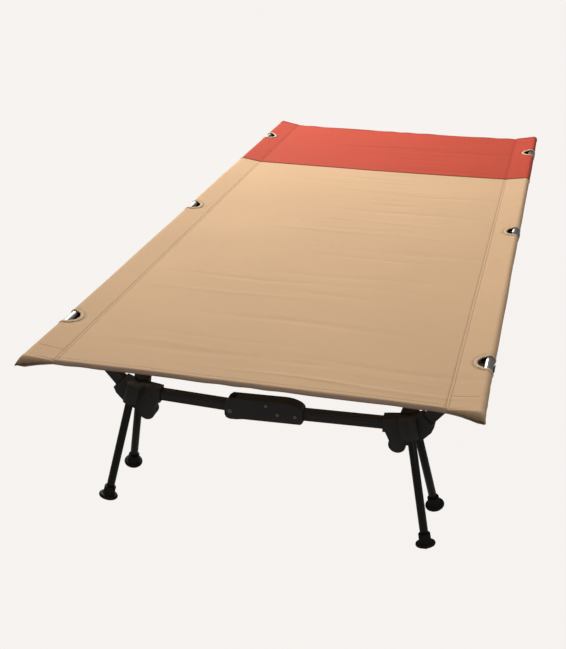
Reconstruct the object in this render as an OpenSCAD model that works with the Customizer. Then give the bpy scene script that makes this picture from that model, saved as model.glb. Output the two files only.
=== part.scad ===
// Folding camp cot: a sheet with two sleeved side rails, carried by three folding leg sets.
// X runs across the cot, Y along it towards the coloured end panel, Z up from the floor.

/* [Overall] */
// Width across the outsides of the two side sleeves
cot_w = 890; // [850:5:930]
// Length of the sheet from end hem to end hem
cot_l = 1984; // [1880:4:2080]
// Height of the side sleeves' upper edge above the floor
deck_h = 395; // [390:1:410]
// Distance between neighbouring leg sets
set_pitch = 777; // [730:1:810]

/* [Sheet] */
// Thickness of the sheet
cloth_t = 1.2; // [0.8:0.1:2]
// Depth of the stretched sheet's upper face below the side sleeves' upper edge
panel_drop = 8; // [6:0.5:9]
// Width of each side sleeve, from its stitching to the outer edge
sleeve_w = 68; // [60:1:80]
// Length of the coloured end panel
red_l = 507; // [400:1:600]
// Width of the folded hem across each end
hem_w = 10; // [6:1:12]
// Distance of an end hem from the tips of the sleeves
end_inset = 11; // [8:1:12]
// Half length of a clip window along the sleeve
window_r = 33; // [30:1:38]
// Width of the binding sewn round a window
binding_w = 4; // [3:0.5:6]

/* [Rails] */
// Outside diameter of a rail tube
rail_d = 19; // [18:0.5:20]
// Wall thickness of a rail tube
rail_wall = 1.2; // [1:0.1:2]
// Number of tube sections in one rail
rail_sections = 4; // [3, 4, 5]

/* [Crossbar] */
// Depth of the bar along the cot
bar_depth = 20; // [19:0.5:20]
// Height of the bar
bar_height = 22; // [21:0.5:22]
// Slope of each half of the crossbar, up from its middle
bow_tilt = 1.8; // [1.6:0.1:2]
// Height of the point where the two sloping bar axes cross
bow_z = 228; // [227:0.5:229]

/* [Legs] */
// Distance of a leg pivot from the middle of the cot
leg_x = 295; // [294:1:298]
// Distance of a leg pivot from the middle plane of its leg set
leg_y = 26; // [25.5:0.5:27]
// Height of a leg pivot above the floor
leg_z = 238; // [237:0.5:239]
// Outward lean of a leg in its own folding plane
leg_lean = 10.4; // [9:0.1:11]
// Fore and aft splay of a leg
leg_splay = 12.7; // [12:0.1:13]
// Turn of the folding plane away from the bar, which brings a folded foot clear of it
leg_yaw = 7; // [6:0.5:8]
// Outside diameter of a leg tube
leg_d = 17; // [16:0.5:17]
// Diameter of a foot's flange
foot_d = 41; // [36:1:42]

/* [Hidden] */
$fn = 48;

LEFT = -1;
RIGHT = 1;
NEAR = -1;
FAR = 1;
front_y = -set_pitch;
middle_y = 0;
rear_y = set_pitch;
stations = [front_y, middle_y, rear_y];

SAND = [0.76, 0.63, 0.46];
RED = [0.68, 0.17, 0.10];
HEM = [0.45, 0.34, 0.26];
SILVER = [0.70, 0.71, 0.72];
SATIN_BLACK = [0.10, 0.10, 0.10];
MOULDED_BLACK = [0.14, 0.13, 0.12];
RUBBER = [0.06, 0.06, 0.06];

// Sheet and sleeves
rail_r = rail_d / 2;
sleeve_gap = 0.3;
sleeve_r = rail_r + sleeve_gap + cloth_t;
rail_x = cot_w / 2 - sleeve_r;
rail_z = deck_h - sleeve_r;
panel_z = deck_h - panel_drop;
stitch_x = cot_w / 2 - sleeve_w;
red_y = cot_l / 2 - red_l;
panel_end = cot_l / 2 - end_inset - hem_w;
tip_l = 24;
sleeve_end = cot_l / 2 - tip_l;
window_x = cot_w / 2 - 5;
binding_proud = 0.8;
hem_proud = 0.5;

// Rails
near_floor_t = 12;
rail_near = -cot_l / 2 + near_floor_t + 0.5;
rail_far = cot_l / 2 - 4;
plug_t = 3;
plug_l = 12;
ferrule_l = 90;
insert_gap = 0.1;
section_gap = 0.4;
cord_r = 2;
bore_r = rail_r - rail_wall;
tube_span = rail_far - rail_near - 2 * plug_t;
section_l = tube_span / rail_sections;

// Crossbar
bar_wall = 1.8;
bar_corner = 2.5;
bar_end = 284;
fold_x = -82;
fold_z = 224;
fold_pin_r = 4;
lug_r = 9;
lug_depth = 17;
rivet_r = 2.5;
running_gap = 0.05;
left_bar_start = 72;
left_lug_end = 112;
right_bar_start = -20;
block_left = -94;
block_right = 73;
block_bottom = -18;
block_top = 28;
block_depth = 30;
core_left = -70;
cavity_clear = 0.3;
// Rivets that join the block to the right bar, in the sloping frame of that bar
rivet_spots = [[-4, 18], [20, 0], [57, -1]];

// End hubs
socket_start = 237;
socket_h = 32;
hub_depth = 28;
hub_rivet = [255, 231];
collar_top = [316, 267];
collar_bottom = [340, 245];
pod_at = [268, 195];
pod_r = 18;
pin_r = 3.5;

// Rail clips
saddle_r = rail_r + 0.5;
saddle_wall = 2.5;
saddle_l = 26;
arm_depth = 18;
saddle_lip = 10;

// Legs, each drawn hanging down from its pivot
leg_r = leg_d / 2;
leg_wall = 1.3;
eye_r = 11;
eye_t = 12;
tube_top = -14;
tube_end = -229;
peg_end = -40;
neck_top = -214.5;
neck_r = 12.3;
nub_r = 11.5;
nub_z = -236.6;
foot_r = foot_d / 2;
seat_gap = 0.05;

// ---- helpers ----

// Extrudes an outline drawn in X and Z from one Y to another
module along_y(from, to) {
    translate([0, to, 0])
        rotate([90, 0, 0])
            linear_extrude(to - from)
                children();
}

// Extrudes an outline drawn in Y and Z from one X to another
module along_x(from, to) {
    translate([from, 0, 0])
        rotate([90, 0, 90])
            linear_extrude(to - from)
                children();
}

// Cylinder along Y
module y_cylinder(from, to, r) {
    translate([0, max(from, to), 0])
        rotate([90, 0, 0])
            cylinder(r = r, h = abs(to - from));
}

// Ring or disc along Y between two radii
module y_ring(from, to, outer, inner) {
    difference() {
        y_cylinder(from, to, outer);
        y_cylinder(from - 1, to + 1, inner);
    }
}

// Keeps the right side as drawn and mirrors it for the left
module on_side(side) {
    mirror([side == LEFT ? 1 : 0, 0, 0]) children();
}

// Rectangle with round corners
module round_rect(w, h, r) {
    square([w - 2 * r, h], center = true);
    square([w, h - 2 * r], center = true);
    for (x = [-1, 1], y = [-1, 1])
        translate([x * (w / 2 - r), y * (h / 2 - r)])
            circle(r = r);
}

// Sloping frame of the right half of the crossbar
module bar_frame() {
    translate([0, 0, bow_z])
        rotate([0, -bow_tilt, 0])
            children();
}

// Frame of a leg on the right side: its pivot is the origin, Y is the pivot axis and the leg hangs along -Z
module leg_frame(end) {
    translate([leg_x, end * leg_y, leg_z])
        rotate([0, 0, -end * leg_yaw])
            rotate([end * leg_splay, 0, 0])
                rotate([0, -leg_lean, 0])
                    children();
}

// ---- sheet ----

// Outline of a sleeve: two straight lines from the stitching that meet the circle round the rail
module sleeve_outline(grow) {
    r = sleeve_r + grow;
    reach = rail_x - stitch_x;
    above = panel_z + grow;
    below = panel_z - 2 * cloth_t - grow;
    first = 90 + asin(r / norm([reach, rail_z - above])) + atan2(rail_z - above, reach);
    last = -90 - asin(r / norm([reach, rail_z - below])) + atan2(rail_z - below, reach);
    steps = 26;
    arc = [
        for (i = [0 : steps])
            let (a = first + (last - first) * i / steps)
                [rail_x + r * cos(a), rail_z + r * sin(a)]
    ];
    polygon(concat([[stitch_x, above]], arc, [[stitch_x, below]]));
}

// Space for the rail inside a sleeve
module rail_channel(from, to) {
    along_y(from, to) translate([rail_x, rail_z]) circle(r = rail_r + sleeve_gap);
}

// D-shaped window column, open at the outer edge of the sleeve
module window_column(y, r) {
    depth = 60;
    translate([window_x, y, deck_h - depth]) {
        cylinder(r = r, h = 2 * depth);
        translate([0, -r, 0]) cube([depth, 2 * r, 2 * depth]);
    }
}

module sheet_panel() {
    color(SAND)
        translate([-stitch_x, -panel_end, panel_z - cloth_t])
            cube([2 * stitch_x, panel_end + red_y, cloth_t]);
}

module red_end_panel() {
    color(RED)
        translate([-stitch_x, red_y, panel_z - cloth_t])
            cube([2 * stitch_x, panel_end - red_y, cloth_t]);
}

module sleeve(side) {
    color(SAND)
        on_side(side)
            difference() {
                along_y(-sleeve_end, sleeve_end) sleeve_outline(0);
                rail_channel(-sleeve_end - 1, sleeve_end + 1);
                for (y = stations) window_column(y, window_r);
            }
}

module window_binding(y) {
    difference() {
        intersection() {
            along_y(y - window_r - 1, y + window_r + 1) sleeve_outline(binding_proud);
            difference() {
                window_column(y, window_r);
                window_column(y, window_r - binding_w);
            }
        }
        rail_channel(y - window_r - 2, y + window_r + 2);
    }
}

module window_bindings() {
    color(SAND)
        for (side = [LEFT, RIGHT], y = stations)
            on_side(side) window_binding(y);
}

// Folded hem across one end; end is -1 at the near end and 1 at the far end
module hem(end) {
    from = end < 0 ? -panel_end - hem_w : panel_end;
    translate([-stitch_x, from, panel_z - cloth_t - hem_proud])
        cube([2 * stitch_x, hem_w, cloth_t + 2 * hem_proud]);
}

// Gathered sleeve end; the near one closes over the rail's end and the far one lets the rail out
module sleeve_tip(side, end) {
    on_side(side)
        if (end < 0)
            difference() {
                along_y(-cot_l / 2, -sleeve_end) sleeve_outline(0);
                rail_channel(-cot_l / 2 + near_floor_t, -sleeve_end + 1);
            }
        else
            difference() {
                along_y(sleeve_end, cot_l / 2) sleeve_outline(0);
                rail_channel(sleeve_end - 1, cot_l / 2 + 1);
            }
}

module end_hems() {
    color(HEM)
        for (end = [NEAR, FAR]) {
            hem(end);
            for (side = [LEFT, RIGHT]) sleeve_tip(side, end);
        }
}

// ---- rails ----

module rail(side) {
    color(SILVER)
        on_side(side)
            translate([rail_x, 0, rail_z])
                for (i = [0 : rail_sections - 1]) {
                    start = rail_near + plug_t + i * section_l;
                    y_ring(start + section_gap / 2, start + section_l - section_gap / 2, rail_r, bore_r);
                }
}

// End plugs and the ferrules that join the tube sections
module rail_inserts(side) {
    color(SILVER)
        on_side(side)
            translate([rail_x, 0, rail_z]) {
                y_cylinder(rail_near, rail_near + plug_t, rail_r);
                y_cylinder(rail_near, rail_near + plug_t + plug_l, bore_r - insert_gap);
                y_cylinder(rail_far - plug_t, rail_far, rail_r);
                y_cylinder(rail_far - plug_t - plug_l, rail_far, bore_r - insert_gap);
                for (i = [1 : rail_sections - 1]) {
                    joint = rail_near + plug_t + i * section_l;
                    y_ring(joint - ferrule_l / 2, joint + ferrule_l / 2, bore_r - insert_gap, bore_r - 2);
                }
            }
}

// Elastic cord stretched through a rail from plug to plug
module rail_cord(side) {
    inset = plug_t + plug_l;
    color(RUBBER)
        on_side(side)
            translate([rail_x, 0, rail_z])
                y_cylinder(rail_near + inset, rail_far - inset, cord_r);
}

// ---- crossbar ----

// Outline of the bar extrusion, with a shallow groove near the top of each upright face
module bar_outline() {
    groove_h = 2;
    groove_t = 0.8;
    groove_z = 6.5;
    difference() {
        round_rect(bar_depth, bar_height, bar_corner);
        for (face = [-1, 1])
            translate([face * bar_depth / 2, groove_z])
                square([2 * groove_t, groove_h], center = true);
    }
}

module bar_hollow() {
    round_rect(bar_depth - 2 * bar_wall - 1, bar_height - 2 * bar_wall, 1.5);
}

module fold_bore(r) {
    translate([fold_x, 0, fold_z]) y_cylinder(-block_depth, block_depth, r);
}

module rivet_bores(r) {
    bar_frame()
        for (spot = rivet_spots)
            translate([spot[0], 0, spot[1]])
                y_cylinder(-block_depth, block_depth, r);
}

// The left bar ends in a solid lug with a round boss about the fold pin
module bar_left(y) {
    color(SATIN_BLACK)
        translate([0, y, 0])
            difference() {
                union() {
                    on_side(LEFT)
                        bar_frame() difference() {
                            along_x(left_bar_start, bar_end) bar_outline();
                            along_x(left_lug_end, bar_end + 1) bar_hollow();
                        }
                    translate([fold_x, 0, fold_z]) y_cylinder(-lug_depth / 2, lug_depth / 2, lug_r);
                }
                fold_bore(fold_pin_r + running_gap);
            }
}

module bar_right(y) {
    color(SATIN_BLACK)
        translate([0, y, 0])
            difference() {
                bar_frame() difference() {
                    along_x(right_bar_start, bar_end) bar_outline();
                    along_x(right_bar_start - 1, bar_end + 1) bar_hollow();
                }
                rivet_bores(rivet_r + running_gap);
            }
}

// Side view of the centre block: chamfered at the top left, swept down in an arc at the top right
module block_outline() {
    arc_x = 30;
    arc_z = 8;
    arc_w = block_right - arc_x;
    arc_h = block_top - arc_z;
    arc = [for (a = [0 : 10 : 90]) [arc_x + arc_w * sin(a), arc_z + arc_h * cos(a)]];
    polygon(concat(
        [[block_left, -10], [block_left, 13], [block_left + 5, 22], [block_left + 13, block_top]],
        arc,
        [[block_right, block_bottom + 5], [block_right - 5, block_bottom]],
        [[block_left + 40, block_bottom], [block_left + 24, block_bottom - 2]],
        [[block_left + 10, block_bottom - 2], [block_left + 3, block_bottom + 1]]
    ));
}

// Space between the block's side plates in which the left bar swings, sloped where the folded bar lies
module swing_space() {
    half = bar_depth / 2 + cavity_clear;
    along_y(-half, half)
        polygon([
            [block_left - 1, block_top + 1],
            [core_left, block_top + 1],
            [core_left, -11],
            [core_left + 6, block_bottom - 4],
            [block_left - 1, block_bottom - 4]
        ]);
}

module centre_block(y) {
    color(MOULDED_BLACK)
        translate([0, y, 0])
            difference() {
                bar_frame() difference() {
                    along_y(-block_depth / 2, block_depth / 2) block_outline();
                    along_x(right_bar_start, block_right + 1) round_rect(bar_depth, bar_height, bar_corner);
                    swing_space();
                }
                rivet_bores(rivet_r + running_gap);
                fold_bore(fold_pin_r);
            }
}

// Headed pin through the block, along Y
module headed_pin(r, head_r) {
    head_t = 1;
    y_cylinder(-block_depth / 2, block_depth / 2, r);
    for (face = [-1, 1])
        translate([0, face * (block_depth / 2 + head_t / 2), 0])
            y_cylinder(-head_t / 2, head_t / 2, head_r);
}

module centre_pins(y) {
    color(SILVER)
        translate([0, y, 0]) {
            translate([fold_x, 0, fold_z]) headed_pin(fold_pin_r, 5);
            bar_frame()
                for (spot = rivet_spots)
                    translate([spot[0], 0, spot[1]])
                        headed_pin(rivet_r, 3.6);
        }
}

// ---- end hubs ----

module hub_outline() {
    polygon([
        [242, 222], [242, 251], [290, 257], collar_top, collar_bottom,
        [335, 232], [316, 211], [290, 197], [254, 197]
    ]);
}

// Boss and pivot pin that carry one leg
module leg_mounting(end) {
    leg_frame(end) {
        y_cylinder(-end * 14, -end * (eye_t / 2 + 0.4), 9);
        y_cylinder(-end * 14, end * 12, pin_r);
    }
}

// Half-round housing over one leg's eye, open below and towards the cot's middle where the leg swings
module leg_housing(end) {
    top = 26;
    bottom = -17;
    outer_r = 14.5;
    leg_frame(end)
        difference() {
            union() {
                translate([0, 0, bottom]) cylinder(r = outer_r, h = top - bottom);
                translate([-20, end > 0 ? 9.4 : -13.4, bottom + 4]) cube([20, 4, top - bottom - 4]);
                translate([-20, -13.4, 12.6]) cube([20, 26.8, top - 12.6]);
            }
            translate([-40, end > 0 ? -40 : -9.4, -60]) cube([49.4, 49.4, 72.6]);
            translate([0, 0, -60]) cylinder(r = leg_r + 1, h = 72.6);
            y_cylinder(-end * 40, end * 9.4, eye_r + 0.6);
        }
}

module hub(side, y) {
    color(MOULDED_BLACK)
        translate([0, y, 0])
            on_side(side)
                difference() {
                    union() {
                        bar_frame() along_x(socket_start, 300) round_rect(hub_depth, socket_h, 3);
                        along_y(-hub_depth / 2, hub_depth / 2) hub_outline();
                        along_y(-hub_depth / 2, hub_depth / 2) translate(pod_at) circle(r = pod_r);
                        translate([hub_rivet[0], 0, hub_rivet[1]])
                            y_cylinder(-hub_depth / 2 - 0.8, hub_depth / 2 + 0.8, 3.5);
                        for (end = [NEAR, FAR]) {
                            leg_mounting(end);
                            leg_housing(end);
                        }
                    }
                    bar_frame()
                        along_x(socket_start - 1, bar_end) round_rect(bar_depth, bar_height, bar_corner);
                    // Slot between the two lobes below the socket
                    translate([230, -4, 150]) cube([60, 8, 50]);
                }
}

// ---- rail clips ----

module rail_clip(side, y) {
    near_root = collar_top + 0.06 * (collar_bottom - collar_top);
    far_root = collar_top + 0.82 * (collar_bottom - collar_top);
    reach = saddle_r + saddle_wall;
    color(MOULDED_BLACK)
        translate([0, y, 0])
            on_side(side)
                difference() {
                    union() {
                        along_y(-arm_depth / 2, arm_depth / 2)
                            polygon([
                                near_root,
                                far_root,
                                [rail_x + reach * cos(285), rail_z + reach * sin(285)],
                                [rail_x + reach * cos(200), rail_z + reach * sin(200)]
                            ]);
                        along_y(-saddle_l / 2, saddle_l / 2)
                            translate([rail_x, rail_z]) circle(r = reach);
                    }
                    along_y(-saddle_l, saddle_l) translate([rail_x, rail_z]) circle(r = saddle_r);
                    // Mouth of the saddle: level on the outer side, a little lower on the inner side
                    along_y(-saddle_l, saddle_l)
                        polygon([
                            [rail_x, rail_z],
                            [rail_x + 30, rail_z],
                            [rail_x + 30, rail_z + 30],
                            [rail_x - 30, rail_z + 30],
                            [rail_x - 30, rail_z - 30 * tan(saddle_lip)]
                        ]);
                }
}

// ---- legs ----

// Pivot eye with a peg that plugs the tube
module knuckle() {
    difference() {
        union() {
            y_cylinder(-eye_t / 2, eye_t / 2, eye_r);
            translate([0, 0, tube_top]) cylinder(r = leg_r, h = 8);
            translate([0, 0, peg_end]) cylinder(r = leg_r - leg_wall - seat_gap, h = tube_top - peg_end + 1);
        }
        y_cylinder(-eye_t, eye_t, pin_r + running_gap);
        for (face = [-1, 1])
            translate([-15, face * (eye_t / 2 + 5) - 5, -9]) cube([30, 10, 20]);
    }
}

module leg_tube() {
    length = tube_top - seat_gap - tube_end;
    translate([0, 0, tube_end])
        difference() {
            cylinder(r = leg_r, h = length);
            translate([0, 0, -1]) cylinder(r = leg_r - leg_wall, h = length + 2);
        }
}

module leg(side, end, y) {
    color(SATIN_BLACK)
        translate([0, y, 0])
            on_side(side)
                leg_frame(end) {
                    knuckle();
                    leg_tube();
                }
}

// Half outline of a foot: neck, round-edged flange and domed nub
module foot_outline() {
    rim_r = 4.6;
    rim = [for (a = [90 : -20 : -90]) [foot_r - rim_r + rim_r * cos(a), nub_z + rim_r * sin(a)]];
    dome = [for (a = [-25 : -5 : -90]) [nub_r * cos(a), nub_z + nub_r * sin(a)]];
    polygon(concat(
        [[leg_r + seat_gap, neck_top], [neck_r - 0.5, neck_top], [neck_r, neck_top - 1]],
        [[neck_r, nub_z + 7], [neck_r + 2, nub_z + rim_r]],
        rim,
        dome,
        [[0, tube_end - seat_gap], [leg_r + seat_gap, tube_end - seat_gap]]
    ));
}

module foot(side, end, y) {
    color(RUBBER)
        translate([0, y, 0])
            on_side(side)
                difference() {
                    leg_frame(end) rotate_extrude() foot_outline();
                    // Worn flat where the nub stands on the floor
                    translate([leg_x - 100, end * leg_y - 100, -50]) cube([200, 200, 50]);
                }
}

// ---- sheet and rails ----
sheet_panel();
red_end_panel();
sleeve(LEFT);  // left_sleeve
sleeve(RIGHT);  // right_sleeve
window_bindings();
end_hems();
rail(LEFT);  // rail_left
rail(RIGHT);  // rail_right
rail_inserts(LEFT);  // rail_left_inserts
rail_inserts(RIGHT);  // rail_right_inserts
rail_cord(LEFT);  // rail_left_cord
rail_cord(RIGHT);  // rail_right_cord

// ---- front leg set ----
centre_block(front_y);  // front_centre_block
centre_pins(front_y);  // front_centre_pins
bar_left(front_y);  // front_bar_left
bar_right(front_y);  // front_bar_right
hub(LEFT, front_y);  // front_hub_left
hub(RIGHT, front_y);  // front_hub_right
rail_clip(LEFT, front_y);  // front_rail_clip_left
rail_clip(RIGHT, front_y);  // front_rail_clip_right
leg(LEFT, NEAR, front_y);  // front_leg_left_near
leg(LEFT, FAR, front_y);  // front_leg_left_far
leg(RIGHT, NEAR, front_y);  // front_leg_right_near
leg(RIGHT, FAR, front_y);  // front_leg_right_far
foot(LEFT, NEAR, front_y);  // front_foot_left_near
foot(LEFT, FAR, front_y);  // front_foot_left_far
foot(RIGHT, NEAR, front_y);  // front_foot_right_near
foot(RIGHT, FAR, front_y);  // front_foot_right_far

// ---- middle leg set ----
centre_block(middle_y);  // middle_centre_block
centre_pins(middle_y);  // middle_centre_pins
bar_left(middle_y);  // middle_bar_left
bar_right(middle_y);  // middle_bar_right
hub(LEFT, middle_y);  // middle_hub_left
hub(RIGHT, middle_y);  // middle_hub_right
rail_clip(LEFT, middle_y);  // middle_rail_clip_left
rail_clip(RIGHT, middle_y);  // middle_rail_clip_right
leg(LEFT, NEAR, middle_y);  // middle_leg_left_near
leg(LEFT, FAR, middle_y);  // middle_leg_left_far
leg(RIGHT, NEAR, middle_y);  // middle_leg_right_near
leg(RIGHT, FAR, middle_y);  // middle_leg_right_far
foot(LEFT, NEAR, middle_y);  // middle_foot_left_near
foot(LEFT, FAR, middle_y);  // middle_foot_left_far
foot(RIGHT, NEAR, middle_y);  // middle_foot_right_near
foot(RIGHT, FAR, middle_y);  // middle_foot_right_far

// ---- rear leg set ----
centre_block(rear_y);  // rear_centre_block
centre_pins(rear_y);  // rear_centre_pins
bar_left(rear_y);  // rear_bar_left
bar_right(rear_y);  // rear_bar_right
hub(LEFT, rear_y);  // rear_hub_left
hub(RIGHT, rear_y);  // rear_hub_right
rail_clip(LEFT, rear_y);  // rear_rail_clip_left
rail_clip(RIGHT, rear_y);  // rear_rail_clip_right
leg(LEFT, NEAR, rear_y);  // rear_leg_left_near
leg(LEFT, FAR, rear_y);  // rear_leg_left_far
leg(RIGHT, NEAR, rear_y);  // rear_leg_right_near
leg(RIGHT, FAR, rear_y);  // rear_leg_right_far
foot(LEFT, NEAR, rear_y);  // rear_foot_left_near
foot(LEFT, FAR, rear_y);  // rear_foot_left_far
foot(RIGHT, NEAR, rear_y);  // rear_foot_right_near
foot(RIGHT, FAR, rear_y);  // rear_foot_right_far
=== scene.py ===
"""Looks of a folding camp cot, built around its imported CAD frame. Lengths are metres, in the frame's axes."""

import math
import random

import bpy
import numpy as np
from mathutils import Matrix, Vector


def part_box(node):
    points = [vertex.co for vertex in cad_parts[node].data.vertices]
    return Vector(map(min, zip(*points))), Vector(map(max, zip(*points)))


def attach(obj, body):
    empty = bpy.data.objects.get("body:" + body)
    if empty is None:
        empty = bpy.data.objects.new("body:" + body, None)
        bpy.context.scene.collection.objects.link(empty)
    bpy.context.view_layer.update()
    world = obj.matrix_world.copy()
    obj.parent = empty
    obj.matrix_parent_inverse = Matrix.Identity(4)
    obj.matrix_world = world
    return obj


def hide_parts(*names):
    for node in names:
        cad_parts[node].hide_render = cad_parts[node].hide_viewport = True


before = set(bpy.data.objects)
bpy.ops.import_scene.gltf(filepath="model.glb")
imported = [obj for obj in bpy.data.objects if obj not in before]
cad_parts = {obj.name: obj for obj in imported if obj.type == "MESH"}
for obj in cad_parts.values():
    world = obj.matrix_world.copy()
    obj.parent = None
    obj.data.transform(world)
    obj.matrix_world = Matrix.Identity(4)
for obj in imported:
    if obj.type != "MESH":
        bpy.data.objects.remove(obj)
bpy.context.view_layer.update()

MM = 0.001
SETS = ("front", "middle", "rear")
SIDES = {"left": -1, "right": 1}
ENDS = {"near": -1, "far": 1}

# ---- sizes taken from the frame ----

rail_low, rail_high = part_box("rail_right")
_, sleeve_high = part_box("right_sleeve")
panel_low, panel_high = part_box("sheet_panel")
red_low, red_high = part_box("red_end_panel")
_, hems_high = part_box("end_hems")
bindings_low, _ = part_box("window_bindings")

RAIL_X = (rail_low.x + rail_high.x) / 2
RAIL_Z = (rail_low.z + rail_high.z) / 2
RAIL_R = (rail_high.z - rail_low.z) / 2
HALF_W = sleeve_high.x
SLEEVE_R = HALF_W - RAIL_X
CLOTH = panel_high.z - panel_low.z
PANEL_TOP = panel_high.z
STITCH_X = panel_high.x
SEAM_Y = red_low.y
HEM_Y = red_high.y
TIP_Y = hems_high.y


def middle_of(node):
    low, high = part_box(node)
    return (low + high) / 2


STATIONS = [middle_of(f"{s}_rail_clip_right").y for s in SETS]
WINDOW_INSET = 5 * MM
WINDOW_X = HALF_W - WINDOW_INSET
BINDING_W = 4 * MM
WINDOW_R = STATIONS[0] - bindings_low.y - BINDING_W
ROW_GAP = 3 * MM
STITCH_ROWS = (STITCH_X - ROW_GAP, STITCH_X + ROW_GAP)
CROSS_ROW_INSET = 70 * MM
CROSS_ROW_Y = TIP_Y - CROSS_ROW_INSET

# ---- camera ----

VIEW_AZIMUTH = math.radians(14.808)
VIEW_ELEVATION = math.radians(24.369)
CAMERA_PLACE = (0.5211, -2.6422, 1.3005)
LENS_MM = 59.31


def make_camera():
    camera = bpy.data.objects.new("camera", bpy.data.cameras.new("camera"))
    bpy.context.scene.collection.objects.link(camera)
    back = Vector((
        math.sin(VIEW_AZIMUTH) * math.cos(VIEW_ELEVATION),
        -math.cos(VIEW_AZIMUTH) * math.cos(VIEW_ELEVATION),
        math.sin(VIEW_ELEVATION),
    ))
    camera.location = CAMERA_PLACE
    camera.rotation_mode = "QUATERNION"
    camera.rotation_quaternion = (-back).to_track_quat("-Z", "Y")
    camera.data.lens = LENS_MM
    camera.data.clip_end = 100
    bpy.context.scene.camera = camera


# ---- material helpers ----


def new_material(name, base, roughness, metallic=0.0, **settings):
    """A material and its shader; settings are named as the shader's sockets, with _ for a space."""
    material = bpy.data.materials.new(name)
    material.use_nodes = True
    shader = material.node_tree.nodes["Principled BSDF"]
    shader.inputs["Base Color"].default_value = (*base, 1)
    shader.inputs["Roughness"].default_value = roughness
    shader.inputs["Metallic"].default_value = metallic
    for socket, value in settings.items():
        shader.inputs[socket.replace("_", " ")].default_value = value
    return material


def add_node(material, kind, **values):
    node = material.node_tree.nodes.new(kind)
    for socket, value in values.items():
        node.inputs[socket.replace("_", " ")].default_value = value
    return node


def join(material, source, target, source_name=0, target_name=0):
    material.node_tree.links.new(source.outputs[source_name], target.inputs[target_name])


def shader_of(material):
    return material.node_tree.nodes["Principled BSDF"]


def object_space(material, scale=(1, 1, 1)):
    """Places in metres on the object, stretched by scale."""
    coordinates = add_node(material, "ShaderNodeTexCoord")
    mapping = add_node(material, "ShaderNodeMapping", Scale=scale)
    join(material, coordinates, mapping, "Object", "Vector")
    return mapping


def noise(material, scale, detail=3.0, stretch=(1, 1, 1)):
    node = add_node(material, "ShaderNodeTexNoise", Scale=scale, Detail=detail)
    join(material, object_space(material, stretch), node, 0, "Vector")
    return node


def ramp(material, source, low, high, source_name=0):
    """Maps a 0 to 1 signal onto low to high."""
    node = add_node(material, "ShaderNodeMapRange", To_Min=low, To_Max=high)
    join(material, source, node, source_name, "Value")
    return node


def multiply(material, first, second):
    node = add_node(material, "ShaderNodeMath")
    node.operation = "MULTIPLY"
    join(material, first, node, 0, 0)
    join(material, second, node, 0, 1)
    return node


def tint(material, base, *factors):
    """Colours the surface base times the factors."""
    total = factors[0]
    for factor in factors[1:]:
        total = multiply(material, total, factor)
    scaled = add_node(material, "ShaderNodeVectorMath")
    scaled.operation = "SCALE"
    scaled.inputs[0].default_value = base
    join(material, total, scaled, 0, "Scale")
    join(material, scaled, shader_of(material), 0, "Base Color")


def bump(material, source, distance, strength=1.0, after=None):
    node = add_node(material, "ShaderNodeBump", Strength=strength, Distance=distance)
    join(material, source, node, 0, "Height")
    if after:
        join(material, after, node, 0, "Normal")
    join(material, node, shader_of(material), 0, "Normal")
    return node


# ---- materials ----


def thread_bands(material, axis, pitch):
    """Light and dark bands, one for each thread of a weave."""
    one_band_scale = 0.314
    node = add_node(material, "ShaderNodeTexWave", Scale=one_band_scale / pitch, Distortion=0.4, Detail=1.0)
    node.bands_direction = axis
    join(material, object_space(material), node, 0, "Vector")
    return node


def woven(name, base, pitch=1.5 * MM, mottle=0.06, roughness=0.86):
    """Plain weave with slubs and soft mottling; the attribute shade darkens it as painted shade (stitch
    grooves, beside the window bindings, corner tips).
    """
    material = new_material(name, base, roughness, Specular_IOR_Level=0.12, Sheen_Weight=0.04)
    weft = thread_bands(material, "Y", pitch)
    warp = thread_bands(material, "X", pitch)
    weave = multiply(material, weft, warp)
    slubs = noise(material, 9, 4, (6, 90, 6))
    clouds = noise(material, 3.5, 4)
    shade = add_node(material, "ShaderNodeAttribute")
    shade.attribute_name = "shade"
    tint(
        material, base,
        ramp(material, weave, 0.86, 1.08),
        ramp(material, slubs, 1 - mottle, 1 + mottle),
        ramp(material, clouds, 1 - mottle, 1 + mottle),
        # painted shade: the attribute shade darkens the colour down to 0.14 of itself
        ramp(material, shade, 1.0, 0.14, "Fac"),
    )
    first = bump(material, weave, 0.25 * MM, 0.5)
    bump(material, slubs, 0.4 * MM, 0.35, after=first)
    return material


def rolled_tape(name, base):
    return woven(name, base, pitch=1.0 * MM, mottle=0.08, roughness=0.9)


def thread(name, base):
    material = new_material(name, base, 0.7, Specular_IOR_Level=0.2)
    twist = noise(material, 900, 2)
    tint(material, base, ramp(material, twist, 0.8, 1.15))
    bump(material, twist, 0.1 * MM)
    return material


def satin_black(name, base):
    """Anodised tube or bar: faint grain and dust."""
    material = new_material(name, base, 0.34, Specular_IOR_Level=0.28)
    grain = noise(material, 260, 4)
    dust = noise(material, 14, 5)
    tint(material, base, ramp(material, dust, 0.7, 1.6), ramp(material, grain, 0.85, 1.15))
    rough = multiply(material, ramp(material, dust, 0.26, 0.46), ramp(material, grain, 0.9, 1.1))
    join(material, rough, shader_of(material), 0, "Roughness")
    bump(material, grain, 0.05 * MM, 0.4)
    return material


def moulded_black():
    base = (0.0300, 0.0270, 0.0235)
    material = new_material("moulded_black", base, 0.5, Specular_IOR_Level=0.3)
    grain = noise(material, 1500, 2)
    wear = noise(material, 22, 5)
    tint(material, base, ramp(material, wear, 0.75, 1.4), ramp(material, grain, 0.9, 1.1))
    join(material, ramp(material, wear, 0.42, 0.62), shader_of(material), 0, "Roughness")
    bump(material, grain, 0.12 * MM, 0.5)
    return material


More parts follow.
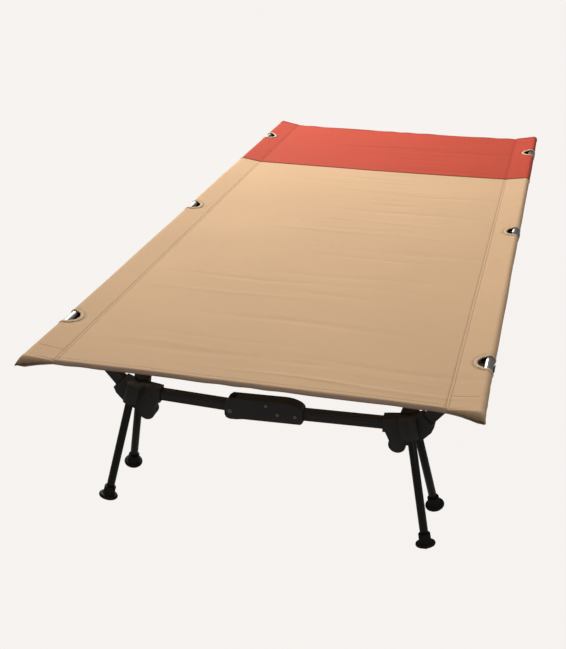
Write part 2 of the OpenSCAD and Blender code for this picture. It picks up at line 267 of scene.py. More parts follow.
def bare_metal(name, base, roughness, lines):
    """Metal with fine lines; lines is the stretch of the noise that makes them."""
    material = new_material(name, base, roughness, 1.0)
    brushed = noise(material, 40, 4, lines)
    blotch = noise(material, 30, 3)
    tint(material, base, ramp(material, blotch, 0.85, 1.08), ramp(material, brushed, 0.9, 1.06))
    rough = ramp(material, brushed, roughness * 0.75, roughness * 1.35)
    join(material, rough, shader_of(material), 0, "Roughness")
    bump(material, brushed, 0.05 * MM, 0.4)
    return material


def black_rubber():
    base = (0.0080, 0.0074, 0.0068)
    material = new_material("black_rubber", base, 0.68, Specular_IOR_Level=0.2)
    grain = noise(material, 700, 3)
    dust = noise(material, 35, 4)
    tint(material, base, ramp(material, dust, 0.8, 1.7))
    join(material, ramp(material, dust, 0.55, 0.8), shader_of(material), 0, "Roughness")
    bump(material, grain, 0.15 * MM, 0.5)
    return material


SAND = (0.640, 0.432, 0.262)
RED = (0.490, 0.054, 0.026)
MATERIALS = {
    "sand": woven("sand_weave", SAND),
    "red": woven("red_weave", RED, mottle=0.07),
    "binding": rolled_tape("binding_weave", (0.66, 0.49, 0.33)),
    "hem": rolled_tape("hem_weave", (0.34, 0.235, 0.17)),
    "red_hem": rolled_tape("red_hem_weave", (0.33, 0.045, 0.025)),
    # the seam strip is a real folded seam; its dark red is painted shadow of the step there
    "seam": rolled_tape("seam_shadow_weave", (0.27, 0.05, 0.022)),
    "sand_thread": thread("sand_thread", (0.29, 0.18, 0.10)),
    "red_thread": thread("red_thread", (0.26, 0.035, 0.02)),
    "bar": satin_black("bar_black", (0.0250, 0.0215, 0.0190)),
    "leg": satin_black("leg_black", (0.0060, 0.0056, 0.0050)),
    "moulded": moulded_black(),
    "rail": bare_metal("rail_metal", (0.33, 0.33, 0.34), 0.30, (1, 0.06, 1)),
    "steel": bare_metal("rivet_metal", (0.20, 0.195, 0.19), 0.38, (1, 1, 1)),
    "rubber": black_rubber(),
}

# ---- how the sheet settles between the rails ----

FIELD_COLUMNS = 57
FIELD_ROWS = 127
LAST_FRAME = 26


def field_axes():
    across = np.linspace(-RAIL_X, RAIL_X, FIELD_COLUMNS)
    along = np.linspace(-HEM_Y, HEM_Y, FIELD_ROWS)
    return across, along


def grid_mesh(name, points):
    """A mesh of a grid of points, shaped rows by columns by 3."""
    rows, columns = points.shape[:2]
    index = np.arange(rows * columns).reshape(rows, columns)
    corners = (index[:-1, :-1], index[:-1, 1:], index[1:, 1:], index[1:, :-1])
    faces = np.stack(corners, -1).reshape(-1, 4)
    mesh = bpy.data.meshes.new(name)
    mesh.from_pydata(points.reshape(-1, 3).tolist(), [], faces.tolist())
    return mesh


def simulated_settling():
    """The same by cloth simulation: a taut sheet held along both rails, under its own weight."""
    across, along = field_axes()
    flat = np.stack([*np.meshgrid(across, along), np.zeros((FIELD_ROWS, FIELD_COLUMNS))], -1)
    cloth = bpy.data.objects.new("settling", grid_mesh("settling", flat))
    bpy.context.scene.collection.objects.link(cloth)
    held = cloth.vertex_groups.new(name="held")
    rim = np.abs(flat[..., 0]).ravel() > RAIL_X - 1 * MM
    held.add(np.flatnonzero(rim).tolist(), 1.0, "REPLACE")
    modifier = cloth.modifiers.new("cloth", "CLOTH")
    settings = modifier.settings
    settings.vertex_group_mass = "held"
    settings.quality = 6
    settings.mass = 0.02
    settings.air_damping = 4
    settings.tension_stiffness = 60
    settings.compression_stiffness = 60
    settings.shear_stiffness = 20
    settings.bending_stiffness = 2
    settings.tension_damping = 25
    settings.compression_damping = 25
    settings.shear_damping = 25
    settings.shrink_min = 0.012
    scene = bpy.context.scene
    for step in range(1, LAST_FRAME + 1):
        scene.frame_set(step)
    settled = cloth.evaluated_get(bpy.context.evaluated_depsgraph_get()).to_mesh()
    places = np.zeros(flat.size, np.float32)
    settled.vertices.foreach_get("co", places)
    moved = places.reshape(flat.shape) - flat
    bpy.data.objects.remove(cloth)
    scene.frame_set(1)
    print("settled: along", np.abs(moved[..., 1]).max(), "down", moved[..., 2].min())
    return moved[..., 1], moved[..., 2]


SETTLED_Y, SETTLED_Z = simulated_settling()


def spline_weights(f):
    """Weights of the four neighbours in a smooth (cubic B-spline) reading of a grid."""
    return (
        (1 - f) ** 3 / 6,
        (3 * f**3 - 6 * f**2 + 4) / 6,
        (-3 * f**3 + 3 * f**2 + 3 * f + 1) / 6,
        f**3 / 6,
    )


def read_field(field, x, y):
    column = np.clip((x + RAIL_X) / (2 * RAIL_X), 0, 1) * (FIELD_COLUMNS - 1)
    row = np.clip((y + HEM_Y) / (2 * HEM_Y), 0, 1) * (FIELD_ROWS - 1)
    c0 = np.floor(column).astype(int)
    r0 = np.floor(row).astype(int)
    total = np.zeros_like(x)
    for i, wx in enumerate(spline_weights(column - c0)):
        for j, wy in enumerate(spline_weights(row - r0)):
            c = np.clip(c0 + i - 1, 0, FIELD_COLUMNS - 1)
            r = np.clip(r0 + j - 1, 0, FIELD_ROWS - 1)
            total += wx * wy * field[r, c]
    return total


# ---- the cloth's surface ----
# s runs across the cloth from its middle line, over the rail and back below to the lower seam.
# v runs along it. Both are lengths on the flat cloth.

MIDDLE_Z = PANEL_TOP - CLOTH / 2
WRAP_R = SLEEVE_R - CLOTH / 2
ALLOWANCE = 9 * MM
LOWER_Z = MIDDLE_Z - CLOTH - 0.15 * MM


def tangent(x, z, side):
    """Angle, place and distance of where a line from (x, z) touches the wrap round the rail."""
    reach = math.hypot(x - RAIL_X, z - RAIL_Z)
    bearing = math.atan2(z - RAIL_Z, x - RAIL_X) % (2 * math.pi)
    angle = bearing - side * math.acos(WRAP_R / reach)
    place = (RAIL_X + WRAP_R * math.cos(angle), RAIL_Z + WRAP_R * math.sin(angle))
    return angle, place, math.dist(place, (x, z))


TOP_ANGLE, TOP_TANGENT, TOP_RUN = tangent(STITCH_X, MIDDLE_Z, 1)
LOW_START = (STITCH_X - ALLOWANCE, LOWER_Z)
LOW_ANGLE, LOW_TANGENT, LOW_RUN = tangent(*LOW_START, -1)
LOW_ANGLE -= 2 * math.pi
S_ARC = STITCH_X + TOP_RUN
S_LOW = S_ARC + WRAP_R * (TOP_ANGLE - LOW_ANGLE)
S_END = S_LOW + LOW_RUN


def profile(s):
    """Cross-section of the sheet: x, z and the outward normal at s, on the right half for s above 0."""
    side = np.where(s < 0, -1.0, 1.0)
    a = np.abs(s)
    rising = np.clip((a - STITCH_X) / TOP_RUN, 0, 1)
    turning = TOP_ANGLE - np.clip((a - S_ARC) / WRAP_R, 0, TOP_ANGLE - LOW_ANGLE)
    back = np.clip((a - S_LOW) / LOW_RUN, 0, 1)
    x = np.where(a < STITCH_X, a, STITCH_X + rising * (TOP_TANGENT[0] - STITCH_X))
    z = MIDDLE_Z + rising * (TOP_TANGENT[1] - MIDDLE_Z)
    x = np.where(a > S_ARC, RAIL_X + WRAP_R * np.cos(turning), x)
    z = np.where(a > S_ARC, RAIL_Z + WRAP_R * np.sin(turning), z)
    x = np.where(a > S_LOW, LOW_TANGENT[0] + back * (LOW_START[0] - LOW_TANGENT[0]), x)
    z = np.where(a > S_LOW, LOW_TANGENT[1] + back * (LOW_START[1] - LOW_TANGENT[1]), z)
    lean = np.where(a < STITCH_X, math.pi / 2, turning)
    return x * side, z, np.cos(lean) * side, np.sin(lean)


def window_reach(x, v):
    """Distance in plan from the nearest window's core line; the opening is where it is under WINDOW_R."""
    inward = np.minimum(np.abs(x) - WINDOW_X, 0)
    return np.min([np.hypot(inward, v - y) for y in STATIONS], axis=0)


def bell(offset, width):
    return np.exp(-((offset / width) ** 2))


def make_creases(count):
    """Faint packing creases across the sheet: place, span, depth and a gentle wander each."""
    draw = random.Random(11)
    creases = []
    for _ in range(count):
        creases.append({
            "y": draw.uniform(-0.93, 0.93),
            "x": draw.uniform(-0.24, 0.31),
            "half": draw.uniform(0.05, 0.22),
            "depth": draw.choice((-1, 1)) * draw.uniform(0.3, 1.5) * MM,
            "width": draw.uniform(5, 11) * MM,
            "slope": draw.uniform(-0.05, 0.05),
            "phase": draw.uniform(0, 6.28),
        })
    return creases


CREASES = make_creases(44)
CREASE_WANDER = 4 * MM
SWELL_DEPTH = 0.7 * MM
RIPPLE_DEPTH = 0.35 * MM
GROOVE_DEPTH = 0.6 * MM
CROSS_GROOVE_DEPTH = 0.5 * MM
GROOVE_W = 1.4 * MM
GATHER_DEPTH = 0.16 * MM
GATHER_REACH = 16 * MM
PUCKER_DEPTH = 0.55 * MM
PUCKER_REACH = 15 * MM
PUCKER_LIMIT = 120 * MM
BOUND_GROOVE_DEPTH = 0.6 * MM
BOUND_GROOVE_PLACE = 8 * MM
BOUND_GROOVE_W = 2.5 * MM
EDGE_FADE = 20 * MM
LOWER_SHARE = 0.5


def swells(x, v):
    """Long, shallow waves and finer ripples of slack cloth."""
    long_waves = np.sin(5.1 * x + 3.3 * v) * np.sin(7.7 * v - 2.9 * x + 1.3)
    ripples = np.sin(23 * v + 4 * np.sin(6 * x)) * np.cos(9 * x + 2 * v)
    return SWELL_DEPTH * long_waves + RIPPLE_DEPTH * ripples


def packing_creases(x, v):
    total = np.zeros_like(x)
    for c in CREASES:
        line = c["y"] + c["slope"] * (x - c["x"]) + CREASE_WANDER * np.sin(17 * x + c["phase"])
        total += c["depth"] * bell(v - line, c["width"]) * bell(x - c["x"], c["half"])
    return total


def stitching_relief(s, v):
    """Grooves under the stitches, and the small gathers beside the sleeve's rows."""
    a = np.abs(s)
    gathers = np.sin(v * 345 + 2.1 * np.sign(s) + 2 * np.sin(31 * v))
    total = GATHER_DEPTH * gathers * np.exp(-np.abs(a - STITCH_X) / GATHER_REACH)
    for row in STITCH_ROWS:
        total -= GROOVE_DEPTH * bell(a - row, GROOVE_W)
    in_sleeve = (a > STITCH_ROWS[1]) & (a < S_ARC)
    for end in (-1, 1):
        total -= np.where(in_sleeve, CROSS_GROOVE_DEPTH * bell(v - end * CROSS_ROW_Y, GROOVE_W), 0)
    return total


def window_relief(s, x, v):
    """Puckers that fan out from each window, and the groove along its binding."""
    reach = window_reach(x, v)
    beyond = np.maximum(reach - WINDOW_R, 0)
    near_station = np.min([np.abs(v - y) for y in STATIONS], axis=0)
    bearing = np.arctan2(near_station, np.maximum(WINDOW_X - np.abs(x), 1e-4))
    pucker = np.sin(11 * bearing + 0.8 * np.sign(v)) * np.exp(-beyond / PUCKER_REACH)
    groove = BOUND_GROOVE_DEPTH * bell(beyond - BOUND_GROOVE_PLACE, BOUND_GROOVE_W)
    puckers = np.where(reach < PUCKER_LIMIT, PUCKER_DEPTH * pucker, 0)
    return puckers - np.where(np.abs(s) < S_ARC, groove, 0)


def relief(s, v):
    """How far the cloth stands proud of its smooth shape, along its normal."""
    a = np.abs(s)
    x = profile(s)[0]
    total = swells(x, v) + packing_creases(x, v) + stitching_relief(s, v) + window_relief(s, x, v)
    slack = np.clip((S_END - a) / EDGE_FADE, 0, 1)
    return total * slack * np.where(a > S_LOW, LOWER_SHARE, 1)


def on_sheet(s, v, proud=0.0):
    """Places on the cloth, shaped N by 3, and its normals."""
    s, v = np.broadcast_arrays(np.asarray(s, float), np.asarray(v, float))
    x, z, nx, nz = profile(s)
    lift = relief(s, v) + proud
    y = v + read_field(SETTLED_Y, x, v)
    z = z + read_field(SETTLED_Z, x, v)
    places = np.stack([x + nx * lift, y, z + nz * lift], -1)
    normals = np.stack([nx, np.zeros_like(nx), nz], -1)
    return places, normals


def s_at(x, lower=False):
    """s of the cloth above (or below) a place x on the right half, for x up to the outer edge."""
    x = np.asarray(x, float)
    turn = np.arccos(np.clip((x - RAIL_X) / WRAP_R, -1, 1))
    if lower:
        straight = S_LOW + (LOW_TANGENT[0] - x) / (LOW_TANGENT[0] - LOW_START[0]) * LOW_RUN
        return np.where(x < LOW_TANGENT[0], straight, S_ARC + WRAP_R * (TOP_ANGLE + turn))
    straight = STITCH_X + (x - STITCH_X) / (TOP_TANGENT[0] - STITCH_X) * TOP_RUN
    rising = np.where(x < TOP_TANGENT[0], straight, S_ARC + WRAP_R * (TOP_ANGLE - turn))
    return np.where(x < STITCH_X, x, rising)


# ---- building meshes ----


def new_piece(name, mesh, material):
    """Puts a mesh in the scene as a smooth-shaded piece that rides on the deck."""
    mesh.shade_smooth()
    mesh.materials.append(MATERIALS[material])
    piece = bpy.data.objects.new(name, mesh)
    bpy.context.scene.collection.objects.link(piece)
    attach(piece, "deck")
    return piece


def set_shade(mesh, values):
    """Gives each point of a mesh its darkness, 0 to 1, for the woven materials."""
    attribute = mesh.attributes.new("shade", "FLOAT", "POINT")
    attribute.data.foreach_set("value", values.astype(np.float32))


def thicken(piece, thickness):
    """Grows a surface into cloth of a thickness, evenly to both sides."""
    modifier = piece.modifiers.new("thickness", "SOLIDIFY")
    modifier.thickness = thickness
    modifier.offset = 0


def mesh_of(name, vertices, faces):
    mesh = bpy.data.meshes.new(name)
    mesh.from_pydata([tuple(p) for p in vertices], [], faces)
    mesh.validate()
    return mesh


def swept(name, centres, normals, section, closed=False, sizes=None):
    """A tube along centres; section is a loop of (sideways, up) offsets, with up along the normals."""
    centres = np.asarray(centres, float)
    if closed:
        ahead, behind = np.roll(centres, -1, 0), np.roll(centres, 1, 0)
    else:
        ahead = np.vstack([centres[1:], centres[-1:]])
        behind = np.vstack([centres[:1], centres[:-1]])
    along = ahead - behind
    along /= np.linalg.norm(along, axis=1, keepdims=True)
    up = normals - along * np.sum(normals * along, 1, keepdims=True)
    up /= np.linalg.norm(up, axis=1, keepdims=True)
    sideways = np.cross(along, up)
    count, loop = len(centres), len(section)
    sizes = np.ones(count) if sizes is None else np.asarray(sizes, float)
    section = np.asarray(section, float)
    rings = (
        centres[:, None]
        + sideways[:, None] * section[None, :, :1] * sizes[:, None, None]
        + up[:, None] * section[None, :, 1:] * sizes[:, None, None]
    )
    faces = []
    for i in range(count if closed else count - 1):
        j = (i + 1) % count
        for k in range(loop):
            m = (k + 1) % loop
            faces.append((i * loop + k, i * loop + m, j * loop + m, j * loop + k))
    if not closed:
        faces.append(tuple(range(loop - 1, -1, -1)))
        faces.append(tuple((count - 1) * loop + k for k in range(loop)))
    return mesh_of(name, rings.reshape(-1, 3), faces)


def oval(width, height, count=14):
    """Loop of an oval with flattened faces."""
    flatness = 0.75
    points = []
    for i in range(count):
        a = 2 * math.pi * i / count
        c, s = math.cos(a), math.sin(a)
        points.append((
            width / 2 * math.copysign(abs(c) ** flatness, c),
            height / 2 * math.copysign(abs(s) ** flatness, s),
        ))
    return points


STITCH_LENGTH = 3.6 * MM
STITCH_W = 0.95 * MM
STITCH_H = 0.45 * MM
STITCH_PITCH = 4.9 * MM
STITCH_BITE = 0.3 * MM
STITCH_SINK = 0.1 * MM
STITCH_RING = ((1, 0), (0.6, 0.8), (-0.6, 0.8), (-1, 0))


def add_stitch(vertices, faces, ends, up):
    """One raised stitch: ends holds the places of its start, middle and end on the cloth."""
    along = ends[2] - ends[0]
    along /= np.linalg.norm(along)
    across = np.cross(along, up)
    base = len(vertices)
    vertices.append(ends[0] - up * STITCH_BITE)
    for fraction in (-0.28, 0.28):
        for side, rise in STITCH_RING:
            sideways = across * side * STITCH_W / 2
            upward = up * (rise * STITCH_H - STITCH_SINK)
            vertices.append(ends[1] + along * fraction * STITCH_LENGTH + sideways + upward)
    vertices.append(ends[2] - up * STITCH_BITE)
    ring = len(STITCH_RING)
    first, second, last = base + 1, base + 1 + ring, base + 1 + 2 * ring
    for k in range(ring - 1):
        faces.append((base, first + k + 1, first + k))
        faces.append((first + k, first + k + 1, second + k + 1, second + k))
        faces.append((last, second + k, second + k + 1))


def stitches(name, rows, material):
    """Raised thread stitches along rows; each row is a list of places and normals close together."""
    vertices, faces = [], []
    for places, normals in rows:
        steps = np.linalg.norm(np.diff(places, axis=0), axis=1)
        travel = np.concatenate([[0], np.cumsum(steps)])
        for middle in np.arange(STITCH_PITCH / 2, travel[-1] - STITCH_PITCH / 2, STITCH_PITCH):
            ends = []
            for t in (middle - STITCH_LENGTH / 2, middle, middle + STITCH_LENGTH / 2):
                ends.append(np.array([np.interp(t, travel, places[:, k]) for k in range(3)]))
            up = np.array([np.interp(middle, travel, normals[:, k]) for k in range(3)])
            up /= np.linalg.norm(up)
            add_stitch(vertices, faces, ends, up)
    return new_piece(name, mesh_of(name, vertices, faces), material)


# ---- the sheet ----


def spread(start, stop, step):
    """Even places from start up to, and without, stop."""
    count = max(1, round((stop - start) / step))
    return np.linspace(start, stop, count + 1)[:-1]


def across_places():
    """s of the mesh's columns: fine at the stitching, round the rail and at the windows."""
    fine = 8 * MM
    right = np.concatenate([
        spread(0, STITCH_X - 5 * fine, 7.5 * MM),
        spread(STITCH_X - 5 * fine, STITCH_X - fine, 4 * MM),
        spread(STITCH_X - fine, STITCH_X + fine, 1 * MM),
        spread(STITCH_X + fine, S_ARC, 3.6 * MM),
        spread(S_ARC, S_LOW, 1.8 * MM),
        spread(S_LOW, S_LOW + 30 * MM, 3.6 * MM),
        spread(S_LOW + 30 * MM, S_END, 6 * MM),
        [S_END],
    ])
    return np.concatenate([-right[:0:-1], right])


WINDOW_ZONE = 50 * MM
ROW_ZONE = 7 * MM


def along_places(start, stop):
    """v of the mesh's rows between start and stop: fine at the windows and at the cross rows."""
    marks = [start, stop]
    for y in STATIONS:
        marks += [y - WINDOW_ZONE, y + WINDOW_ZONE]
    for end in (-1, 1):
        marks += [end * CROSS_ROW_Y - ROW_ZONE, end * CROSS_ROW_Y + ROW_ZONE]
    marks = sorted(m for m in marks if start <= m <= stop)
    rows = []
    for low, high in zip(marks[:-1], marks[1:]):
        middle = (low + high) / 2
        at_window = any(abs(middle - y) < WINDOW_ZONE for y in STATIONS)
        at_cross_row = abs(abs(middle) - CROSS_ROW_Y) < ROW_ZONE
        step = 3.3 * MM if at_window else 1.2 * MM if at_cross_row else 5.6 * MM
        rows.append(spread(low, high, step))
    return np.concatenate([*rows, [stop]])


def fit_to_windows(s, v):
    """Moves the grid's points that lie close to a window's edge onto it."""
    s, v = s.copy(), v.copy()
    side = np.where(s < 0, -1.0, 1.0)
    x = np.abs(profile(s)[0])
    lower = np.abs(s) > (S_ARC + S_LOW) / 2
    for y in STATIONS:
        inward = np.minimum(x - WINDOW_X, 0)
        along = v - y
        reach = np.hypot(inward, along)
        close = np.abs(reach - WINDOW_R) < 1.75 * MM
        turning = x > TOP_TANGENT[0] - 1 * MM
        onto = WINDOW_R / np.maximum(reach, 1e-6)
        flat = close & ~turning
        new_x = WINDOW_X + inward * onto
        new_s = np.where(lower, s_at(new_x, lower=True), s_at(new_x))
        s = np.where(flat, new_s * side, s)
        v = np.where(flat, y + along * onto, v)
        edge = np.sqrt(np.maximum(WINDOW_R**2 - inward**2, 0))
        v = np.where(close & turning, y + np.sign(along) * edge, v)
    return s, v


def cloth_sheet(name, start, stop, material, stands_for):
    """One length of cloth across both sleeves, with the windows cut out of it."""
    s, v = np.meshgrid(across_places(), along_places(start, stop))
    s, v = fit_to_windows(s, v)
    places, _ = on_sheet(s, v)
    mesh = grid_mesh(name, places)
    x = np.abs(profile(s)[0])
    reach = window_reach(x, v).ravel()
    shade = stitch_shade(s, v).ravel()
    corners = np.array([p.vertices for p in mesh.polygons])
    kept = reach[corners].mean(1) > WINDOW_R - 0.5 * MM
    used = np.unique(corners[kept])
    renumber = np.full(len(reach), -1)
    renumber[used] = np.arange(len(used))
    bpy.data.meshes.remove(mesh)
    mesh = mesh_of(name, places.reshape(-1, 3)[used], renumber[corners[kept]].tolist())
    set_shade(mesh, shade[used])
    piece = new_piece(name, mesh, material)
    thicken(piece, CLOTH - 0.1 * MM)
    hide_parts(*stands_for)
    return piece


# Strength of the painted shade in the stitch grooves and of the painted shadow beside the bindings.
GROOVE_SHADE = 0.20
BOUND_SHADE = 0.42


def stitch_shade(s, v):
    """Painted shade in the stitch grooves and a painted shadow in a ring beside each window's binding, 0 to 1.
    """
    a = np.abs(s)
    shade = np.zeros_like(a)
    for row in STITCH_ROWS:
        shade = np.maximum(shade, GROOVE_SHADE * bell(a - row, 1.2 * MM))
    in_sleeve = (a > STITCH_X) & (a < S_ARC)
    for end in (-1, 1):
        cross_row = GROOVE_SHADE * bell(v - end * CROSS_ROW_Y, 1.3 * MM)
        shade = np.maximum(shade, np.where(in_sleeve, cross_row, 0))
    beyond = window_reach(profile(s)[0], v) - WINDOW_R
    # painted shadow in a ring just outside each window's binding
    return np.maximum(shade, BOUND_SHADE * bell(beyond - 7 * MM, 3.2 * MM))


# ---- bindings, seam, hems and tips ----


def window_outline(side, station, radius):
    """Closed loop round a window: over the upper layer, down the outer side and back under."""
    arc_points, outer_points = 25, 10
    turn = np.linspace(math.pi / 2, 3 * math.pi / 2, arc_points)
    x = WINDOW_X + radius * np.cos(turn)
    y = station + radius * np.sin(turn)
    outer = np.linspace(s_at(WINDOW_X), s_at(WINDOW_X, lower=True), outer_points + 2)[1:-1]
    s = np.concatenate([s_at(x), outer, s_at(x[::-1], lower=True), outer[::-1]])
    v = np.concatenate([y, np.full(outer_points, y[-1]), y[::-1], np.full(outer_points, y[0])])
    return side * s, v


BINDING_ROLL = (7.4 * MM, 3.4 * MM)
BINDING_OFFSET = 2.2 * MM


def bindings():
    """Puffy bound edge of each window."""
    made = []
    for set_name, station in zip(SETS, STATIONS):
        for side_name, side in SIDES.items():
            s, v = window_outline(side, station, WINDOW_R + BINDING_OFFSET)
            places, normals = on_sheet(s, v, 0.3 * MM)
            name = f"{set_name}_{side_name}_window_binding"
            mesh = swept(name, places, normals, oval(*BINDING_ROLL), closed=True)
            piece = new_piece(name, mesh, "binding")
            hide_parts("window_bindings")
            made.append(piece)
    return made


def joining_seam():
    """The folded seam between the sand cloth and the coloured panel; its darker red is painted shadow of the
    step where the cloths overlap.
    """
    s = np.linspace(-S_END + 3 * MM, S_END - 3 * MM, 330)
    places, normals = on_sheet(s, SEAM_Y, 0.7 * MM)
    mesh = swept("joining_seam", places, normals, oval(9 * MM, 1.5 * MM, 10))
    return new_piece("joining_seam", mesh, "seam")


def lengthwise_rows(start, stop):
    """Rows along the cloth: two beside each sleeve, and one along each lower edge."""
    v = np.linspace(start, stop, 500)
    rows = [on_sheet(side * row, v, CLOTH / 2) for side in (-1, 1) for row in STITCH_ROWS]
    low = S_END - ALLOWANCE
    return rows + [on_sheet(side * low, v, CLOTH / 2) for side in (-1, 1)]


def end_rows(end):
    """Rows across the cloth near one end: one over each sleeve, and the hem's."""
    s = np.linspace(STITCH_X + 6 * MM, S_ARC, 12)
    rows = [on_sheet(side * s, end * CROSS_ROW_Y, CLOTH / 2) for side in (-1, 1)]
    hem_row_y = HEM_Y - 13 * MM
    return rows + [on_sheet(np.linspace(-STITCH_X, STITCH_X, 120), end * hem_row_y, CLOTH / 2)]


def stitching():
    gap = 6 * MM
    sand_rows = lengthwise_rows(-HEM_Y + gap, SEAM_Y - gap) + end_rows(-1)
    stitches("sand_stitches", sand_rows, "sand_thread")
    red_rows = lengthwise_rows(SEAM_Y + gap, HEM_Y - gap) + end_rows(1)
    stitches("red_stitches", red_rows, "red_thread")
    across = np.linspace(-S_ARC, S_ARC, 200)
    seam_rows = [on_sheet(across, SEAM_Y + row, 1.5 * MM) for row in (-2.5 * MM, 2.5 * MM)]
    stitches("seam_stitches", seam_rows, "red_thread")


HEM_ROLL = (9.5 * MM, 4.2 * MM)
HEM_DROP = 2.4 * MM
HEM_LEAN = math.radians(38)


def hem_path(end):
    """Places and normals along a rolled end hem, from one corner tip to the other."""
    x = np.linspace(-HALF_W + 2 * MM, HALF_W - 2 * MM, 241)
    a = np.abs(x)
    corner = np.clip((a - STITCH_X) / (HALF_W - STITCH_X), 0, 1)
    inner = np.minimum(a, STITCH_X) * np.sign(x)
    edge, _ = on_sheet(inner, end * (HEM_Y + 3 * MM))
    roll = 0.5 * MM * np.sin(61 * x + 3 * np.sin(17 * x))
    corner_y = end * (TIP_Y - 4 * MM)
    corner_z = RAIL_Z - 5 * MM
    y = edge[:, 1] + (corner_y - edge[:, 1]) * corner**1.3
    z = (edge[:, 2] - HEM_DROP) * (1 - corner**1.2) + corner_z * corner**1.2
    places = np.stack([x, y, z + roll * (1 - corner)], -1)
    normals = np.tile([0, end * math.sin(HEM_LEAN), math.cos(HEM_LEAN)], (len(x), 1))
    return places, normals, corner


def hems():
    """The rolled hem across each end, which thins into the gathered corners."""
    made = []
    for end_name, end in ENDS.items():
        places, normals, corner = hem_path(end)
        name = f"{end_name}_end_hem"
        mesh = swept(name, places, normals, oval(*HEM_ROLL), sizes=1 - 0.42 * corner**2)
        material, slot = ("red_hem", "red_cloth") if end > 0 else ("hem", "hem_tape")
        piece = new_piece(name, mesh, material)
        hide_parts("end_hems")
        made.append(piece)
    return made


TIP_RINGS = 16
PINCH_START = 0.45
PINCH_SHARE = 0.88
TIP_FOLD = 1.5 * MM
TIP_FLARE = 2 * MM


def tip_columns():
    """s of a corner tip's columns, from the sleeve's stitching over the rail to the lower seam."""
    return np.concatenate([
        spread(STITCH_X + 1 * MM, S_ARC, 3 * MM),
        np.linspace(S_ARC, S_LOW, 24),
        spread(S_LOW + 3 * MM, S_END - ALLOWANCE, 3 * MM),
    ])


def tip_rings(side, end):
    """Rings of one corner tip: the near ones pinch to a point beyond the rail, the far ones stay open."""
    s = tip_columns()
    start = HEM_Y - 3 * MM
    finish = TIP_Y + 3 * MM if end < 0 else TIP_Y - 8 * MM
    places, _ = on_sheet(side * s, end * start, 0.8 * MM)
    inner = np.clip((np.abs(places[:, 0]) - STITCH_X) / (HALF_W - STITCH_X), 0, 1)
    point_z = (PANEL_TOP - 4 * MM) * (1 - inner) + (RAIL_Z - 3 * MM) * inner
    travel = (1 - inner**1.4) * (HEM_Y + 2 * MM) + inner**1.4 * finish - start
    creasing = np.sin(s * 430 + 1.7 * side) * (s > STITCH_X + 8 * MM)
    rings = []
    for t in np.linspace(0, 1, TIP_RINGS):
        pinch = max(0.0, (t - PINCH_START) / (1 - PINCH_START)) ** 1.4 if end < 0 else 0
        folds = TIP_FOLD * t * (1 - 0.4 * t) * creasing
        ring = places.copy()
        ring[:, 0] += side * TIP_FLARE * pinch * inner**3
        ring[:, 1] = end * (start + travel * t)
        ring[:, 2] = point_z + (places[:, 2] - point_z) * (1 - PINCH_SHARE * pinch) + folds * pinch
        rings.append(ring)
    return np.array(rings)


def corner_tips():
    """Gathered end of each sleeve, with painted shade that darkens it towards its rim."""
    made = []
    t = np.linspace(0, 1, TIP_RINGS)
    # the third entry of each look is painted shade along the tip, from its start to its rim
    looks = {
        "near": ("sand", "sand_cloth", np.clip((t - 0.5) / 0.4, 0, 1) * 0.66),
        "far": ("red", "red_cloth", t**1.5 * 0.5),
    }
    for end_name, end in ENDS.items():
        material, slot, painted_tip_shade = looks[end_name]
        for side_name, side in SIDES.items():
            points = tip_rings(side, end)
            name = f"{end_name}_{side_name}_corner_tip"
            mesh = grid_mesh(name, points)
            set_shade(mesh, np.repeat(painted_tip_shade, points.shape[1]))
            piece = new_piece(name, mesh, material)
            thicken(piece, 0.9 * MM)
            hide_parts("end_hems")
            made.append(piece)
    return made


def build_sheet():
    sand = cloth_sheet("sand_sheet", -HEM_Y, SEAM_Y, "sand",
                       ("sheet_panel", "left_sleeve", "right_sleeve"))
    red = cloth_sheet("red_sheet", SEAM_Y, HEM_Y, "red", ("red_end_panel",))
    bound = bindings()
    seam = joining_seam()
    stitching()
    near_hem, far_hem = hems()
    tips = corner_tips()


# ---- finish of the hard parts ----


def finish_of(node):
    """Which material a CAD node shows."""
    if node.startswith("rail_") and "cord" in node:
        return "rubber"
    if node.startswith("rail_") and "inserts" in node:
        return "moulded"
    if node in ("rail_left", "rail_right"):
        return "rail"
    if "_pins" in node:
        return "steel"
    if "_foot_" in node:
        return "rubber"
    if "_bar_" in node:
        return "bar"
    if "_leg_" in node:
        return "leg"
    return "moulded"


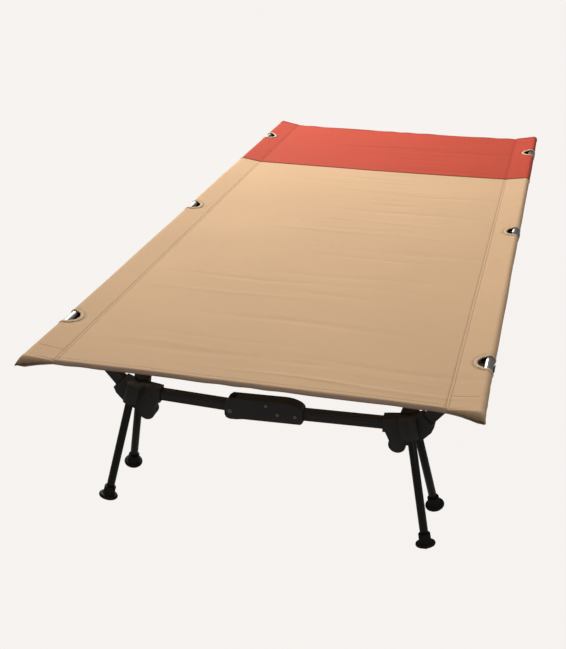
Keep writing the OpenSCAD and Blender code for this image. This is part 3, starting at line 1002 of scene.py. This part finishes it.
def dress_hard_parts():
    """Gives each shown CAD node its material and softened edges."""
    for name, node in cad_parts.items():
        node.data.materials.clear()
        node.data.materials.append(MATERIALS[finish_of(name)])
        if node.hide_render:
            continue
        weld = node.modifiers.new("weld", "WELD")
        weld.merge_threshold = 0.02 * MM
        edges = node.modifiers.new("edges", "BEVEL")
        edges.width = 0.5 * MM
        edges.segments = 2
        edges.limit_method = "ANGLE"
        edges.angle_limit = math.radians(40)
        edges.harden_normals = True


# ---- studio ----


def area_light(name, place, target, size, power, color=(1, 1, 1)):
    light = bpy.data.objects.new(name, bpy.data.lights.new(name, "AREA"))
    bpy.context.scene.collection.objects.link(light)
    light.data.shape = "RECTANGLE"
    light.data.size, light.data.size_y = size
    light.data.energy = power
    light.data.color = color
    light.location = place
    light.rotation_mode = "QUATERNION"
    light.rotation_quaternion = (Vector(target) - Vector(place)).to_track_quat("-Z", "Y")


def make_studio():
    scene = bpy.context.scene
    scene.view_settings.view_transform = "Standard"
    scene.world = bpy.data.worlds.new("studio")
    scene.world.use_nodes = True
    backdrop = scene.world.node_tree.nodes["Background"]
    backdrop.inputs["Color"].default_value = (0.93, 0.905, 0.875, 1)
    backdrop.inputs["Strength"].default_value = 0.28
    span = 40
    corners = [(-span, -span, 0), (span, -span, 0), (span, span, 0), (-span, span, 0)]
    mesh = mesh_of("floor", corners, [(0, 1, 2, 3)])
    floor = bpy.data.objects.new("floor", mesh)
    scene.collection.objects.link(floor)
    floor.visible_diffuse = False
    floor.visible_glossy = False
    material = new_material("floor", (0.004, 0.004, 0.004), 0.9, Specular_IOR_Level=0.0,
                            Emission_Color=(0.924, 0.890, 0.865, 1), Emission_Strength=1.0)
    mesh.materials.append(material)
    area_light("window_light", (-1.7, 2.6, 2.0), (-0.1, 0.7, 0.3), (1.8, 1.4), 150, (1, 0.93, 0.83))
    area_light("top_light", (-0.2, 0.2, 2.7), (-0.1, 0.1, 0.3), (2.0, 2.6), 28, (1, 0.97, 0.93))
    area_light("camera_side_light", (1.4, -2.6, 1.6), (0, -0.6, 0.2), (1.0, 1.0), 6, (0.95, 0.97, 1))


# ---- the build ----

make_camera()
make_studio()
build_sheet()
dress_hard_parts()
